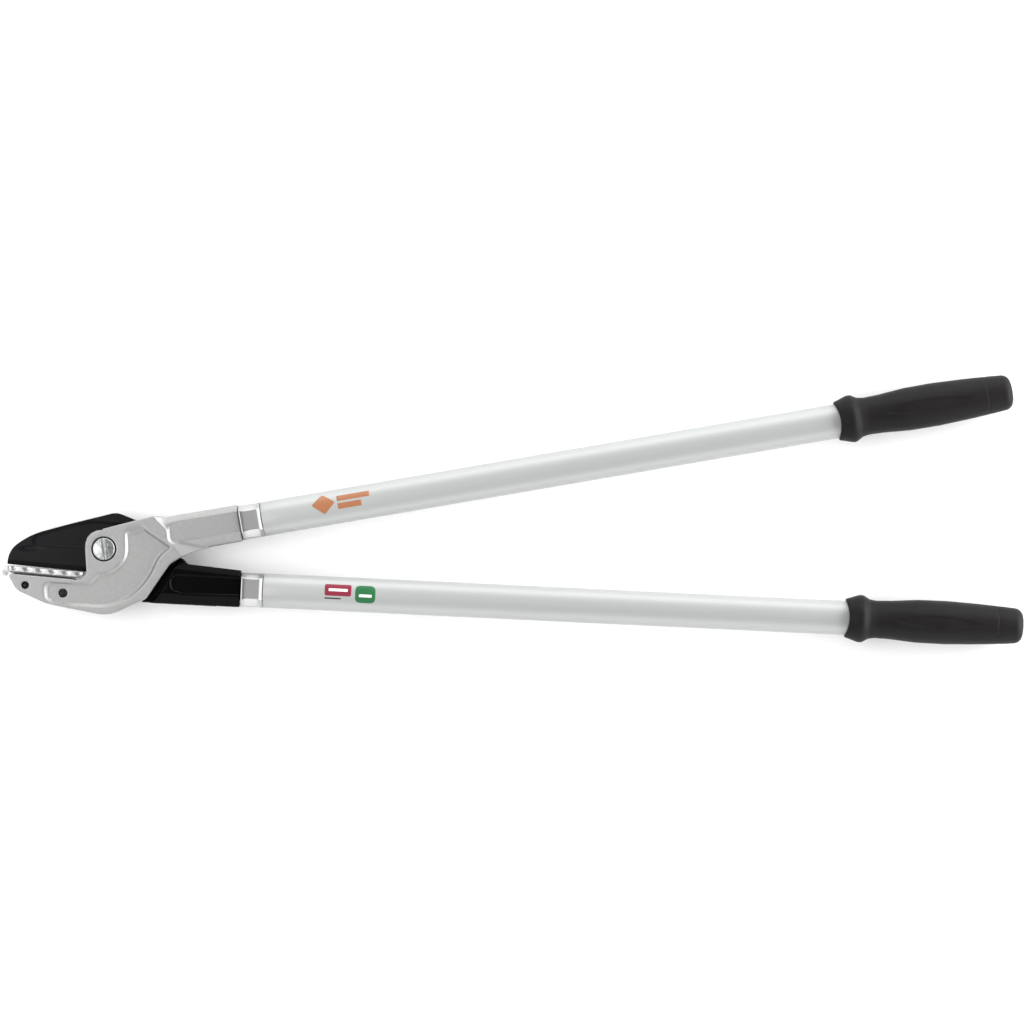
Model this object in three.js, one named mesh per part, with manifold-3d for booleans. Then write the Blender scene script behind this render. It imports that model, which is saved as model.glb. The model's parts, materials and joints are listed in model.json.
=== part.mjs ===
// Anvil loppers, 800 mm long, lying flat with the jaws closed.
// Millimetres, +Z up. The pivot axis is the Z axis, +X runs between the two handles, and the origin is
// the flat end of the pivot bolt, which touches the ground together with the guards of the two grips.
import * as THREE from "three";
import { mergeVertices } from "three/addons/utils/BufferGeometryUtils.js";
import Module from "manifold-3d";

const wasm = await Module();
wasm.setup();

// ---- Driving dimensions ----
const GAP = 0.3; // left between two pieces that touch
const MID_HEIGHT = 18.75; // the handles' middle plane above the ground, half the guard's diameter

// Levels of the head, above or below the middle plane.
const LEVER_FRONT = 11;
const LEVER_BACK = 2;
const POCKET_FLOOR = 8.6;
const FLARE_FRONT = 7;
const JAW_BACK = -7.5;
const BLADE_FRONT = LEVER_BACK - GAP;
const BLADE_BACK = BLADE_FRONT - 4;
const SHANK_FRONT = BLADE_BACK - GAP;
const SHANK_BACK = SHANK_FRONT - 5.9;

// Handles: each is laid along its own axis, which passes the pivot at a small distance.
const HANDLE_ANGLE = THREE.MathUtils.degToRad(6.2);
const UPPER_OFFSET = 2;
const LOWER_OFFSET = -26.9;
const SOCKET_END = 108.5; // all distances along a handle start beside the pivot
const TUBE_START = 126.3;
const TUBE_END = 702;
const TUBE_HALF_HEIGHT = 13.5;
const TUBE_HALF_DEPTH = 11.2;
const TUBE_WALL = 1.5;
const SPIGOT_END = 172;
const GRIP_START = 585;
const CAP_START = 705;
const HANDLE_END = 725;

// Levers
const SOCKET_HALF_DEPTH = 9.5;
const TANG_HALF_HEIGHT = 8;
const TANG_HALF_DEPTH = 5;
const SHANK_CLEARANCE_RADIUS = 55.5; // the thick shank stays outside the round back of the anvil lever

// Cutting edge: a straight line below the pivot, rising towards the tip
const EDGE_TILT = THREE.MathUtils.degToRad(-8.75);
const EDGE_DROP = 19.4;
const ANVIL_THICKNESS = 5.8;
const ANVIL_FRONT = 9;
const ANVIL_BACK = -7;
const TONGUE_HALF_WIDTH = 2;
const TONGUE_CENTRE = 1;

// Pivot
const BOLT_RADIUS = 5;
const BOLT_HEAD_RADIUS = 8.9;
const BUSH_RADIUS = 7;
const COUNTERBORE_RADIUS = 9.8;
const COUNTERBORE_FLOOR = 7.1;
const NUT_ACROSS_CORNERS = 18.5;

// ---- Materials ----
const metal = (color, roughness) => new THREE.MeshStandardMaterial({ color, roughness, metalness: 1 });
const plain = (color, roughness) => new THREE.MeshStandardMaterial({ color, roughness, metalness: 0 });
const forgedAluminium = metal(0xb9bcbf, 0.5);
const bareAluminium = metal(0xc9cccf, 0.3);
const zincSteel = metal(0xaeb1b4, 0.35);
const blackenedSteel = metal(0x3a3a3b, 0.5);
const bronze = metal(0xa07a45, 0.4);
const blackCoating = plain(0x17161a, 0.4);
const blackLacquer = plain(0x131216, 0.35);
const silverLacquer = plain(0xd9dbdc, 0.35);
const softPlastic = plain(0x2d2c2e, 0.7);
const nylon = plain(0x1c1c1e, 0.6);

// ---- Shapes ----

// A closed outline through corners [x, y, rounding radius].
function outline(corners) {
  const shape = new THREE.Shape();
  corners.forEach(([x, y, radius = 0], i) => {
    const corner = new THREE.Vector2(x, y);
    const [bx, by] = corners.at(i - 1);
    const [ax, ay] = corners[(i + 1) % corners.length];
    const before = new THREE.Vector2(bx, by).sub(corner).normalize();
    const after = new THREE.Vector2(ax, ay).sub(corner).normalize();
    const reach = radius / Math.tan(Math.acos(before.dot(after)) / 2);
    const start = before.multiplyScalar(reach).add(corner);
    const end = after.multiplyScalar(reach).add(corner);
    if (i === 0) shape.moveTo(start.x, start.y);
    else shape.lineTo(start.x, start.y);
    if (radius > 0) shape.quadraticCurveTo(x, y, end.x, end.y);
  });
  shape.closePath();
  return shape;
}

// An outline extruded upwards from one level to another.
function slab(shape, from, to, curveSegments = 5) {
  const options = { depth: to - from, bevelEnabled: false, curveSegments };
  return new THREE.ExtrudeGeometry(shape, options).translate(0, 0, from);
}

// A section with its x across the handle and its y upwards, extruded along the handle.
function bar(section, from, to, curveSegments = 5) {
  const turn = new THREE.Matrix4().set(0, 0, 1, 0, 1, 0, 0, 0, 0, 1, 0, 0, 0, 0, 0, 1);
  return slab(section, from, to, curveSegments).applyMatrix4(turn);
}

// A round rod standing at (x, y) from one level to another.
function rod(radius, from, to, x = 0, y = 0, sides = 24) {
  const geometry = new THREE.CylinderGeometry(radius, radius, to - from, sides);
  return geometry.rotateX(Math.PI / 2).translate(x, y, (from + to) / 2);
}

// A solid of revolution about the vertical line through (x, y), from [radius, level] points.
function turned(profile, x = 0, y = 0, sides = 28) {
  const points = profile.map(([radius, level]) => new THREE.Vector2(radius, level));
  return new THREE.LatheGeometry(points, sides).rotateX(Math.PI / 2).translate(x, y, 0);
}

function oval(halfHeight, halfDepth) {
  return new THREE.Shape().absellipse(0, 0, halfHeight, halfDepth, 0, 2 * Math.PI, false, 0);
}

function rectangle(halfWidth, halfHeight) {
  return outline([
    [-halfWidth, -halfHeight],
    [halfWidth, -halfHeight],
    [halfWidth, halfHeight],
    [-halfWidth, halfHeight],
  ]);
}

// ---- Joining and cutting ----

function toSolid(geometry) {
  const bare = geometry.clone();
  bare.deleteAttribute("normal");
  bare.deleteAttribute("uv");
  const merged = mergeVertices(bare, 1e-4);
  const vertProperties = merged.attributes.position.array;
  const triVerts = new Uint32Array(merged.index.array);
  return new wasm.Manifold(new wasm.Mesh({ numProp: 3, vertProperties, triVerts }));
}

function toGeometry(solid) {
  const { vertProperties, triVerts } = solid.getMesh();
  const geometry = new THREE.BufferGeometry();
  geometry.setAttribute("position", new THREE.BufferAttribute(vertProperties, 3));
  geometry.setIndex(new THREE.BufferAttribute(triVerts, 1));
  geometry.computeVertexNormals();
  return geometry;
}

function join(...pieces) {
  return toGeometry(pieces.map(toSolid).reduce((whole, piece) => whole.add(piece)));
}

function cut(piece, ...tools) {
  return toGeometry(tools.map(toSolid).reduce((whole, tool) => whole.subtract(tool), toSolid(piece)));
}

function common(piece, other) {
  return toGeometry(toSolid(piece).intersect(toSolid(other)));
}

// Lays a geometry made along the X axis on a handle's own axis.
function onHandle(geometry, side) {
  const offset = side > 0 ? UPPER_OFFSET : LOWER_OFFSET;
  return geometry.translate(0, offset, 0).rotateZ(side * HANDLE_ANGLE);
}

// Lays a geometry whose X axis follows the cutting edge in the closed jaws.
const onEdge = (geometry) => geometry.rotateZ(EDGE_TILT);

// ---- The anvil side: forged lever, anvil, pins and bearing ----

const PIN_PLACES = {
  anvil_pin_front: { x: -63.6, y: -24.6, radius: 2.7 },
  anvil_pin_rear: { x: -34.4, y: -32.7, radius: 3.2 },
};
const PIN_RECESS = 2.5;
const PIN_CHAMFER = 0.7;

// Eight-sided forged socket: a flat front and back, with a narrow slope above and a wide one below.
function socketSection() {
  return outline([
    [14.5, -6.3, 1],
    [14.5, 6.3, 1],
    [8.4, SOCKET_HALF_DEPTH, 1],
    [-5.2, SOCKET_HALF_DEPTH, 1],
    [-14.5, 3.5, 1],
    [-14.5, -3.5, 1],
    [-5.2, -SOCKET_HALF_DEPTH, 1],
    [8.4, -SOCKET_HALF_DEPTH, 1],
  ]);
}

function tang() {
  return bar(rectangle(TANG_HALF_HEIGHT, TANG_HALF_DEPTH), SOCKET_END - 5, SPIGOT_END - 4);
}

function tangPinHole(pinRadius) {
  return rod(pinRadius + GAP, -TANG_HALF_DEPTH - 1, TANG_HALF_DEPTH + 1, TANG_PIN_PLACE, 0, 12);
}

function anvilLever() {
  const plate = outline([
    [-15, 15.5, 15],
    [-3, 15.4, 3],
    [39.5, 23.6, 3],
    [51.8, 11.5, 4],
    [53.4, 3.4, 4],
    [60.3, -10.2, 2],
    [51, -15.2, 8],
    [30.5, -41.3, 9],
    [0, -53, 28],
    [-28.5, -45.5, 1],
    [-28.5, -23.2, 0],
    [-24, -22.3, 0],
    [-20, -22.4, 3],
    [-15, -18, 3],
  ]);
  const jaw = outline([
    [-77.4, -14.1, 2],
    [-24, -22.3, 0],
    [-28.5, -28, 2],
    [-28.5, -45.8, 1],
    [-48, -40.2, 20],
    [-70.6, -28.2, 12],
  ]);
  const pocket = outline([
    [-47.5, -24.6, 4],
    [-10.5, -29, 5],
    [-3.5, -19.5, 2],
    [8, -19.5, 6],
    [18, -9, 9],
    [18.5, 12, 6],
    [33, 12.8, 2],
    [51.5, -2.2, 2],
    [40, -12, 8],
    [30, -33, 24],
    [4, -46.5, 24],
    [-32, -42, 12],
    [-48, -37.5, 5],
  ]);
  const shoulder = outline([
    [41, 21],
    [56, 10],
    [57, 23.4],
    [47, 22.6],
  ]);
  const underside = outline([
    [54, 0],
    [84, 0],
    [84, -4, 4],
    [70, -6.8, 8],
    [60.3, -10.2, 2],
  ]);
  const socket = onHandle(bar(socketSection(), 54, SOCKET_END), 1);
  const body = join(
    slab(plate, LEVER_BACK, LEVER_FRONT),
    slab(jaw, JAW_BACK, LEVER_FRONT),
    socket,
    slab(shoulder, LEVER_BACK, FLARE_FRONT),
    slab(underside, LEVER_BACK, FLARE_FRONT),
    onHandle(tang(), 1),
  );
  const tongueSlot = slab(tongueOutline(GAP), ...tongueLevels(GAP));
  return cut(
    body,
    slab(pocket, POCKET_FLOOR, LEVER_FRONT + 1),
    rod(BUSH_RADIUS + GAP, LEVER_BACK - 1, LEVER_FRONT + 1),
    rod(COUNTERBORE_RADIUS, COUNTERBORE_FLOOR, LEVER_FRONT + 1, 0, 0, 36),
    onEdge(tongueSlot),
    onHandle(tangPinHole(TANG_PIN_RADIUS), 1),
    ...Object.values(PIN_PLACES).map(({ x, y, radius }) => {
      return rod(radius + GAP, JAW_BACK - 1, LEVER_FRONT + 1, x, y, 16);
    }),
  );
}

// The anvil's tongue, which the two pins hold in the jaw's slot.
function tongueOutline(clearance) {
  const top = -EDGE_DROP - GAP - ANVIL_THICKNESS;
  return outline([
    [-69 - clearance, top + 2],
    [-69 - clearance, -33 - clearance, 2],
    [-58, -39.5 - clearance, 4],
    [-23 + clearance, -42 - clearance, 3],
    [-23 + clearance, top + 2],
  ]);
}

function tongueLevels(clearance) {
  return [TONGUE_CENTRE - TONGUE_HALF_WIDTH - clearance, TONGUE_CENTRE + TONGUE_HALF_WIDTH + clearance];
}

function anvilPlate() {
  const top = -EDGE_DROP - GAP;
  const bottom = top - ANVIL_THICKNESS + GAP;
  const section = outline([
    [-75.6, top, 0.6],
    [-13.2, top, 1.5],
    [-15, -22.6, 2],
    [-20.5, bottom, 3],
    [-74.8, bottom, 0],
    [-75.6, -28.6, 1],
    [-78.2, -28.2, 1],
    [-78.4, -24.8, 1],
  ]);
  const levels = tongueLevels(0);
  const tongue = slab(tongueOutline(0), ...levels);
  const whole = onEdge(join(slab(section, ANVIL_BACK, ANVIL_FRONT), tongue));
  const holes = Object.values(PIN_PLACES).map(({ x, y, radius }) => {
    return rod(radius + GAP, levels[0] - 1, levels[1] + 1, x, y, 16);
  });
  return cut(whole, ...holes);
}

// A pin pressed into the jaw, its chamfered ends sunk below both faces.
function anvilPin({ x, y, radius }) {
  const low = JAW_BACK + PIN_RECESS;
  const high = LEVER_FRONT - PIN_RECESS;
  const profile = [
    [0, low],
    [radius - PIN_CHAMFER, low],
    [radius, low + PIN_CHAMFER],
    [radius, high - PIN_CHAMFER],
    [radius - PIN_CHAMFER, high],
    [0, high],
  ];
  return turned(profile, x, y, 16);
}

function washer(innerRadius, outerRadius, from, to) {
  return turned([
    [innerRadius, from],
    [outerRadius, from],
    [outerRadius, to],
    [innerRadius, to],
    [innerRadius, from],
  ]);
}

// ---- The blade side: blade, forged lever and the fasteners that clamp them ----

const BLADE_RIVETS = {
  blade_rivet_1: { x: 34, y: -5 },
  blade_rivet_2: { x: 22, y: -26 },
};
const BLADE_RIVET_RADIUS = 2.6;
const BLADE_RIVET_HEAD_RADIUS = 5;
const BEVEL_HEIGHT = 5;
const EDGE_HALF_WIDTH = 0.3;

// One of the two slopes that sharpen the cutting edge: what it removes on one face.
function bevelTool(face) {
  const middle = (BLADE_FRONT + BLADE_BACK) / 2;
  const surface = face > 0 ? BLADE_FRONT : BLADE_BACK;
  const triangle = outline([
    [-EDGE_DROP - 1, middle + face * (EDGE_HALF_WIDTH - 0.2)],
    [-EDGE_DROP + BEVEL_HEIGHT, surface],
    [-EDGE_DROP + BEVEL_HEIGHT, surface + face],
    [-EDGE_DROP - 1, surface + face],
  ]);
  return onEdge(bar(triangle, -90, -12.8));
}

function blade() {
  const shape = new THREE.Shape();
  const tip = new THREE.Vector2(-75.2, -EDGE_DROP).rotateAround(new THREE.Vector2(), EDGE_TILT);
  const heel = new THREE.Vector2(-12.8, -EDGE_DROP).rotateAround(new THREE.Vector2(), EDGE_TILT);
  shape.moveTo(heel.x, heel.y);
  shape.lineTo(-11, -16.5);
  shape.lineTo(6, -16.5);
  shape.lineTo(13, -27);
  shape.quadraticCurveTo(22, -38, 32, -28);
  shape.quadraticCurveTo(47, -8, 40, 4);
  shape.lineTo(24, 21.5);
  shape.quadraticCurveTo(18, 27.5, 8, 26.6);
  shape.lineTo(-25, 21.7);
  shape.quadraticCurveTo(-56, 15.5, -67, 9.2);
  shape.quadraticCurveTo(-75, 3.5, tip.x, tip.y);
  const leaf = outline([
    [-54, 8.4, 1.5],
    [-50.5, 12.6, 1.5],
    [-10, 19.6, 0],
    [8, 21.5, 0],
    [-2, 0, 0],
  ]);
  return cut(
    slab(shape, BLADE_BACK, BLADE_FRONT, 8),
    bevelTool(1),
    bevelTool(-1),
    slab(leaf, BLADE_FRONT - 0.8, BLADE_FRONT + 1),
    rod(BOLT_RADIUS + GAP, BLADE_BACK - 1, BLADE_FRONT + 1),
    ...rivetHoles(BLADE_BACK, BLADE_FRONT),
  );
}

function rivetHoles(from, to) {
  return Object.values(BLADE_RIVETS).map(({ x, y }) => {
    return rod(BLADE_RIVET_RADIUS + GAP, from - 1, to + 1, x, y, 16);
  });
}

function bladeLever() {
  const plate = outline([
    [-15.5, 15.5, 15],
    [12, 15.5, 12],
    [58, -9.8, 2],
    [64.5, -17, 2],
    [80, -19.5],
    [80, -50.4],
    [26.5, -43.8, 2],
    [11.5, -25, 4],
    [9, -15.5, 3],
    [-15.5, -15.5, 15],
  ]);
  const shank = outline([
    [61.2, -11.8, 1],
    [64.5, -16.2, 3],
    [69, -17.2, 3],
    [95, -21.8],
    [95, -52],
    [29.8, -44.3],
  ]);
  const clearance = rod(SHANK_CLEARANCE_RADIUS, SHANK_FRONT + 0.1, SOCKET_HALF_DEPTH + 1, 0, 0, 72);
  const pad = outline([
    [60, -25.2, 6],
    [112, -30.5],
    [112, -42.2],
    [60, -38.8, 6],
  ]);
  const socket = onHandle(bar(socketSection(), 84, SOCKET_END), -1);
  const thick = cut(slab(shank, -SOCKET_HALF_DEPTH, SOCKET_HALF_DEPTH - 1), clearance);
  return cut(
    join(slab(plate, SHANK_BACK, SHANK_FRONT), thick, socket, onHandle(tang(), -1)),
    slab(pad, SOCKET_HALF_DEPTH - 1.6, SOCKET_HALF_DEPTH + 1),
    rod(BOLT_RADIUS + GAP, SHANK_BACK - 1, SHANK_FRONT + 1),
    onHandle(tangPinHole(TANG_PIN_RADIUS), -1),
    ...rivetHoles(SHANK_BACK, SHANK_FRONT),
  );
}

function bladeRivet({ x, y }) {
  const headLow = SHANK_BACK - GAP - 2.2;
  return turned(
    [
      [0, headLow],
      [3.4, headLow],
      [BLADE_RIVET_HEAD_RADIUS, headLow + 1.2],
      [BLADE_RIVET_HEAD_RADIUS, SHANK_BACK - GAP],
      [BLADE_RIVET_RADIUS, SHANK_BACK - GAP],
      [BLADE_RIVET_RADIUS, BLADE_FRONT - 0.1],
      [0, BLADE_FRONT - 0.1],
    ],
    x,
    y,
    16,
  );
}

const WASHER_FLOOR = COUNTERBORE_FLOOR + GAP;
const WASHER_TOP = WASHER_FLOOR + 1;
const HEAD_LOW = WASHER_TOP + GAP;
const HEAD_EDGE = LEVER_FRONT - 0.2;
const HEAD_CROWN = LEVER_FRONT + 0.9;
const SPRING_TOP = SHANK_BACK - GAP;
const SPRING_LOW = SPRING_TOP - 1.6;
const NUT_TOP = SPRING_LOW - GAP;
const NUT_LOW = NUT_TOP - 6.5;

function pivotBolt() {
  return turned([
    [0, -MID_HEIGHT],
    [BOLT_RADIUS - 1, -MID_HEIGHT],
    [BOLT_RADIUS, -MID_HEIGHT + 1],
    [BOLT_RADIUS, HEAD_LOW],
    [BOLT_HEAD_RADIUS, HEAD_LOW],
    [BOLT_HEAD_RADIUS, HEAD_EDGE],
    [BOLT_HEAD_RADIUS - 1.4, HEAD_CROWN - 0.2],
    [0, HEAD_CROWN],
  ]);
}

function pivotNut() {
  const hexagon = new THREE.Shape();
  for (let i = 0; i < 6; i += 1) {
    const angle = (i * Math.PI) / 3;
    const x = (NUT_ACROSS_CORNERS / 2) * Math.cos(angle);
    const y = (NUT_ACROSS_CORNERS / 2) * Math.sin(angle);
    if (i === 0) hexagon.moveTo(x, y);
    else hexagon.lineTo(x, y);
  }
  hexagon.closePath();
  const rounding = turned([
    [0, NUT_LOW],
    [7.6, NUT_LOW],
    [9.6, NUT_LOW + 1.6],
    [9.6, NUT_TOP],
    [0, NUT_TOP],
  ]);
  const thread = rod(BOLT_RADIUS + GAP, NUT_LOW - 1, NUT_TOP + 1);
  return cut(common(slab(hexagon, NUT_LOW, NUT_TOP), rounding), thread);
}

// ---- A handle: ferrule, tube, fasteners, grip and cap, all along the X axis ----

const TANG_PIN_PLACE = (SOCKET_END + TUBE_START) / 2;
const TANG_PIN_RADIUS = 2.5;
const TUBE_RIVET_PLACES = [140, 160];
const TUBE_RIVET_RADIUS = 2.4;
const SPIGOT_HALF_HEIGHT = TUBE_HALF_HEIGHT - TUBE_WALL - GAP;
const SPIGOT_HALF_DEPTH = TUBE_HALF_DEPTH - TUBE_WALL - GAP;
const COLLAR_HALF_DEPTH = 10.8;

function ferrule() {
  const collar = outline([
    [13.7, -4, 2],
    [13.7, 4, 2],
    [8.2, COLLAR_HALF_DEPTH, 2],
    [-8.2, COLLAR_HALF_DEPTH, 2],
    [-13.7, 4, 2],
    [-13.7, -4, 2],
    [-8.2, -COLLAR_HALF_DEPTH, 2],
    [8.2, -COLLAR_HALF_DEPTH, 2],
  ]);
  const hollow = rectangle(TANG_HALF_HEIGHT + GAP, TANG_HALF_DEPTH + GAP);
  const rivetHole = (place) => rod(TUBE_RIVET_RADIUS + GAP, -TUBE_HALF_DEPTH, -TANG_HALF_DEPTH, place, 0, 12);
  return cut(
    join(
      bar(collar, SOCKET_END + GAP, TUBE_START - GAP, 3),
      bar(oval(SPIGOT_HALF_HEIGHT, SPIGOT_HALF_DEPTH), TUBE_START - 1, SPIGOT_END, 10),
    ),
    bar(hollow, SOCKET_END - 1, SPIGOT_END + 1),
    rod(TANG_PIN_RADIUS + GAP, -COLLAR_HALF_DEPTH - 1, TANG_HALF_DEPTH + 1, TANG_PIN_PLACE, 0, 12),
    ...TUBE_RIVET_PLACES.map(rivetHole),
  );
}

function tangPin() {
  const head = -COLLAR_HALF_DEPTH - GAP;
  return turned(
    [
      [0, head - 1.4],
      [2.6, head - 1.4],
      [4, head - 0.6],
      [4, head],
      [TANG_PIN_RADIUS, head],
      [TANG_PIN_RADIUS, TANG_HALF_DEPTH],
      [0, TANG_HALF_DEPTH],
    ],
    TANG_PIN_PLACE,
    0,
    12,
  );
}

function tube() {
  const ring = oval(TUBE_HALF_HEIGHT, TUBE_HALF_DEPTH);
  ring.holes.push(oval(TUBE_HALF_HEIGHT - TUBE_WALL, TUBE_HALF_DEPTH - TUBE_WALL));
  const holes = TUBE_RIVET_PLACES.map((place) => {
    return rod(TUBE_RIVET_RADIUS + GAP, -TUBE_HALF_DEPTH - 1, -TUBE_HALF_DEPTH + 3, place, 0, 12);
  });
  return cut(bar(ring, TUBE_START, TUBE_END, 16), ...holes);
}

function tubeRivet(place) {
  const head = -TUBE_HALF_DEPTH - GAP;
  return turned(
    [
      [0, head - 1.6],
      [2.6, head - 1.4],
      [4.7, head - 0.4],
      [4.7, head],
      [TUBE_RIVET_RADIUS, head],
      [TUBE_RIVET_RADIUS, -TANG_HALF_DEPTH - 1],
      [0, -TANG_HALF_DEPTH - 1],
    ],
    place,
    0,
    12,
  );
}

// A solid of revolution about the handle's axis, from [distance, radius] points.
function turnedAlong(profile, sides = 32) {
  const points = profile.map(([distance, radius]) => new THREE.Vector2(radius, distance));
  return new THREE.LatheGeometry(points, sides).rotateZ(-Math.PI / 2);
}

const CAP_RADIUS = 15.2;

function grip() {
  const skin = turnedAlong([
    [GRIP_START, 0],
    [GRIP_START, 15.3],
    [GRIP_START + 5, 16.6],
    [GRIP_START + 9.5, 18.4],
    [GRIP_START + 12, 18.75],
    [GRIP_START + 14.5, 18.3],
    [GRIP_START + 18, 16],
    [GRIP_START + 22, 15],
    [GRIP_START + 32, 15.1],
    [GRIP_START + 50, 16.3],
    [GRIP_START + 72, 17.1],
    [GRIP_START + 95, 16.6],
    [CAP_START, CAP_RADIUS],
    [CAP_START, 0],
  ]);
  const hollow = bar(oval(TUBE_HALF_HEIGHT + GAP, TUBE_HALF_DEPTH + GAP), GRIP_START - 1, CAP_START + 1, 14);
  return cut(skin, hollow);
}

function gripCap() {
  const dome = turnedAlong([
    [CAP_START + GAP, 0],
    [CAP_START + GAP, CAP_RADIUS],
    [HANDLE_END - 8, 14.1],
    [HANDLE_END - 3, 12.9],
    [HANDLE_END - 0.8, 10.8],
    [HANDLE_END, 8.4],
    [HANDLE_END, 0],
  ]);
  const plug = bar(oval(SPIGOT_HALF_HEIGHT, SPIGOT_HALF_DEPTH), TUBE_END - 20, CAP_START + 2, 10);
  return join(dome, plug);
}

// ---- Assembly ----

function addMesh(group, name, geometry, material) {
  const mesh = new THREE.Mesh(geometry, material);
  mesh.name = name;
  group.add(mesh);
}

function handle(side, prefix) {
  const group = new THREE.Group();
  group.rotation.z = side * HANDLE_ANGLE;
  const offset = side > 0 ? UPPER_OFFSET : LOWER_OFFSET;
  group.position.set(-offset * Math.sin(group.rotation.z), offset * Math.cos(group.rotation.z), 0);
  addMesh(group, `${prefix}_ferrule`, ferrule(), bareAluminium);
  addMesh(group, `${prefix}_tang_pin`, tangPin(), zincSteel);
  addMesh(group, `${prefix}_tube`, tube(), silverLacquer);
  TUBE_RIVET_PLACES.forEach((place, i) => {
    addMesh(group, `${prefix}_tube_rivet_${i + 1}`, tubeRivet(place), bareAluminium);
  });
  addMesh(group, `${prefix}_grip`, grip(), softPlastic);
  addMesh(group, `${prefix}_grip_cap`, gripCap(), softPlastic);
  return group;
}

function anvilSide() {
  const group = new THREE.Group();
  addMesh(group, "anvil_lever", anvilLever(), forgedAluminium);
  addMesh(group, "anvil_plate", anvilPlate(), bareAluminium);
  for (const [name, place] of Object.entries(PIN_PLACES)) {
    addMesh(group, name, anvilPin(place), blackenedSteel);
  }
  const bush = washer(BOLT_RADIUS + GAP, BUSH_RADIUS, LEVER_BACK, COUNTERBORE_FLOOR);
  addMesh(group, "pivot_bush", bush, bronze);
  const thrust = washer(BOLT_RADIUS + GAP, COUNTERBORE_RADIUS - GAP, WASHER_FLOOR, WASHER_TOP);
  addMesh(group, "thrust_washer", thrust, nylon);
  group.add(handle(1, "upper"));
  return group;
}

function bladeSide() {
  const group = new THREE.Group();
  addMesh(group, "blade", blade(), blackCoating);
  addMesh(group, "blade_lever", bladeLever(), blackLacquer);
  for (const [name, place] of Object.entries(BLADE_RIVETS)) {
    addMesh(group, name, bladeRivet(place), zincSteel);
  }
  addMesh(group, "pivot_bolt", pivotBolt(), zincSteel);
  addMesh(group, "spring_washer", washer(BOLT_RADIUS + GAP, 8.6, SPRING_LOW, SPRING_TOP), zincSteel);
  addMesh(group, "pivot_nut", pivotNut(), zincSteel);
  group.add(handle(-1, "lower"));
  return group;
}

const loppers = new THREE.Group();
loppers.position.z = MID_HEIGHT;
loppers.add(anvilSide(), bladeSide());

export default loppers;
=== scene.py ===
"""Anvil loppers, 800 mm long, lying flat and closed on a pale floor.

The head's pieces are laid out in millimetres from the middle of the pivot, with +X between the two
handles and +Z up along the pivot bolt. A handle's pieces are laid out along the handle's own axis.
"""

import json
import math

import bpy
import numpy as np
from mathutils import Matrix, Vector


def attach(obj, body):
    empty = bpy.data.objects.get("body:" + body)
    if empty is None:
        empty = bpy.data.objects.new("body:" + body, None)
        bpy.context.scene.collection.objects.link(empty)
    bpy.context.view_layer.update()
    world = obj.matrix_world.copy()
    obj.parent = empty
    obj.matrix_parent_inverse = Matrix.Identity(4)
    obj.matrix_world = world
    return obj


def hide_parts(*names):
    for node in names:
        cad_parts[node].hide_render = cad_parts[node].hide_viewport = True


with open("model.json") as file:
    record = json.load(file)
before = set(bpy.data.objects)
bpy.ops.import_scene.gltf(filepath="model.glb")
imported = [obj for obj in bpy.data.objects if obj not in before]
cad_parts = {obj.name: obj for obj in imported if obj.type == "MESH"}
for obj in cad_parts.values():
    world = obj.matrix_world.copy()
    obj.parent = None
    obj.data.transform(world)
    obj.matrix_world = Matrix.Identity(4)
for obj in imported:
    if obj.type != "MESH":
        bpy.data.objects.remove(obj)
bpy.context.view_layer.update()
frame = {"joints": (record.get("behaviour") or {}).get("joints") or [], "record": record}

MM = 0.001
X, Y = 0, 1

# ---- Places, from the frame ----

PIVOT = Vector(frame["joints"][0]["pos_m"])
HANDLE_LENGTH = 725  # from beside the pivot to the grip's end
MOUNTS = {mount["name"]: mount for mount in frame["record"]["mounts"]}
BODIES = {"upper": "anvil_side", "lower": "blade_side"}


def handle_frame(side):
    """The place of a handle's axis: X runs along it, from beside the pivot to the grip's end."""
    mount = MOUNTS[side + "_grip_end"]
    along = Vector(mount["axis"])
    start = Vector(mount["pos_m"]) - along * HANDLE_LENGTH * MM
    turn = Matrix.Rotation(math.atan2(along.y, along.x), 4, "Z")
    return Matrix.Translation(start) @ turn @ Matrix.Scale(MM, 4)


HEAD = Matrix.Translation(PIVOT) @ Matrix.Scale(MM, 4)
HANDLES = {side: handle_frame(side) for side in BODIES}

# ---- Levels and sizes of the head, in millimetres from the handles' middle plane ----

LEVER_FRONT = 11.0
LEVER_BACK = 2.0
POCKET_FLOOR = 8.6
JAW_BACK = -7.5
BLADE_FRONT = 1.7
BLADE_BACK = -2.3
SHANK_FRONT = -2.6
SHANK_BACK = -8.5
SOCKET_HALF_DEPTH = 9.5
SOCKET_END = 108.5
TANG_END = 168.0
TANG_HALF_HEIGHT = 8.0
TANG_HALF_DEPTH = 5.0
EDGE_TILT = math.radians(-8.75)
EDGE_DROP = 19.4
ANVIL_TOP = -19.7
ANVIL_BOTTOM = -25.2
PIN_RECESS = 2.5
PINS = {"anvil_pin_front": (-63.6, -24.6, 2.7), "anvil_pin_rear": (-34.4, -32.7, 3.2)}
RIVETS = {"blade_rivet_1": (34.0, -5.0), "blade_rivet_2": (22.0, -26.0)}
TUBE_RIVETS = {"tube_rivet_1": 140.0, "tube_rivet_2": 160.0}
TANG_PIN_PLACE = 117.4
CLEARANCE = 0.3
BOLT_RADIUS = 5.0
BOLT_HEAD_RADIUS = 8.9
BOLT_BORE = BOLT_RADIUS + CLEARANCE
DOME_RADIUS = 34.6
DOME_TOP = 11.8
BUSH_RADIUS = 7.0
COUNTERBORE_RADIUS = 9.8
COUNTERBORE_FLOOR = 7.1
RIVET_HOLE_RADIUS = 2.9
TANG_PIN_HOLE_RADIUS = 2.8


# ---- Materials ----


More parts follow.
